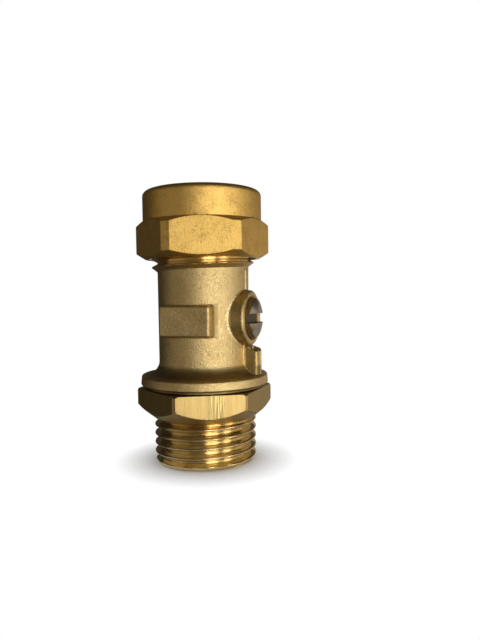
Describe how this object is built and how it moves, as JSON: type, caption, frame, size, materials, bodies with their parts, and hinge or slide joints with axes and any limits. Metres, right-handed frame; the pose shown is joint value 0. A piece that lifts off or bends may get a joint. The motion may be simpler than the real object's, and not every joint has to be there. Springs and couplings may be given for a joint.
{
  "type": "isolating valve",
  "caption": "Slotted quarter-turn ball valve that shuts off a pipe: compression nut and olive on one end, male pipe thread with hexagon on the other.",
  "frame": {"origin": "middle of the male thread's end face, on the pipe's axis", "axes": "+Z runs along the pipe from the male thread to the compression nut, +X points out along the spindle"},
  "size_m": [0.0258, 0.0274, 0.0544],
  "materials": {
    "forged_brass": "hot-forged and blasted, matt satin",
    "machined_brass": "turned and drawn, satin with fine tool marks",
    "nut_brass": "forged, lightly pitted satin",
    "olive_brass": "smooth turned",
    "plating": "satin nickel plating, bare brass in the slot",
    "ball_plating": "polished",
    "seat_plastic": "waxy white",
    "seal_rubber": "smooth black"
  },
  "bodies": {
    "valve": {"valve_body": "forged_brass", "tail_connector": "machined_brass", "upper_ball_seat": "seat_plastic", "lower_ball_seat": "seat_plastic"},
    "spindle": {"stem": "plating", "ball": "ball_plating", "stem_seal": "seal_rubber", "thrust_washer": "seat_plastic"},
    "olive_ring": {"olive": "olive_brass"},
    "nut": {"compression_nut": "nut_brass"}
  },
  "joints": [
    {"name": "stem_turn", "type": "hinge", "parent": "valve", "child": "spindle", "pos_m": [0, 0, 0.029], "axis": [1, 0, 0], "continuous": true},
    {"name": "nut_travel", "type": "slide", "parent": "valve", "child": "olive_ring", "axis": [0, 0, 1], "range_m": [0, 0.00454]},
    {"name": "nut_turn", "type": "hinge", "parent": "olive_ring", "child": "nut", "pos_m": [0, 0, 0.045], "axis": [0, 0, 1], "range_deg": [0, 900]}
  ],
  "couplings": [
    {"joint": "nut_travel", "follows": "nut_turn", "m_per_rad": 0.00028871}
  ]
}
